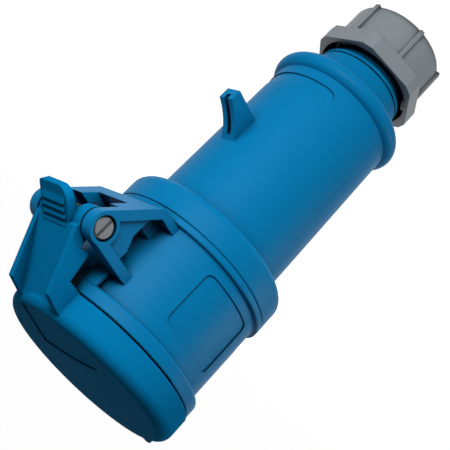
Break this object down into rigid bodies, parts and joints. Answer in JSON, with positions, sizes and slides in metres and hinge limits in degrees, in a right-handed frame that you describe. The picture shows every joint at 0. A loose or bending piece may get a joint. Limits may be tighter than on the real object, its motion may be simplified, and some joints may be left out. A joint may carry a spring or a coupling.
{
  "type": "industrial cable coupler",
  "caption": "Moulded industrial cable coupler: barrel with a sprung hinged lid on a braced bracket, tapered grip with finger hook, collar ring and a ribbed gland nut",
  "frame": {"origin": "centre of the opening in the end face of the gland nut, on which the part stands upright", "axes": "+Z along the axis from the gland nut to the lid, +X towards the lid hinge, Y along the hinge pin"},
  "size_m": [0.0847, 0.0616, 0.154],
  "materials": {
    "housing": "satin",
    "nut": "satin",
    "insert": "satin",
    "rubber": "matte",
    "pin": "satin",
    "spring": "polished",
    "screw": "polished",
    "contact": "satin"
  },
  "bodies": {
    "housing": {"front_housing": "housing", "grip_housing": "housing", "hinge_pin": "pin", "lid_spring": "spring", "housing_seal": "rubber", "contact_carrier": "insert", "carrier_back": "insert", "carrier_ring": "insert", "line_contact": "contact", "neutral_contact": "contact", "earth_contact": "contact", "contact_springs": "spring", "terminal_screws": "screw", "carrier_screws": "screw", "cable_seal": "rubber", "clamp_cage": "nut"},
    "cap": {"lid": "housing", "lid_gasket": "rubber"},
    "slip_ring": {"pressure_ring": "nut"},
    "nut": {"gland_nut": "nut"}
  },
  "joints": [
    {"name": "lid_hinge", "type": "hinge", "parent": "housing", "child": "cap", "pos_m": [0.0414, 0, 0.1294], "axis": [0, 1, 0], "range_deg": [0, 105], "stiffness_Nm_per_rad": 0.04, "springref_deg": -57.3, "deforming": ["lid_spring"]},
    {"name": "gland_travel", "type": "slide", "parent": "housing", "child": "slip_ring", "axis": [0, 0, -1], "range_m": [0, 0.003]},
    {"name": "gland_turn", "type": "hinge", "parent": "slip_ring", "child": "nut", "pos_m": [0, 0, 0], "axis": [0, 0, -1], "range_deg": [0, 540]}
  ],
  "couplings": [
    {"joint": "gland_turn", "follows": "gland_travel", "rad_per_m": 3141.5}
  ]
}
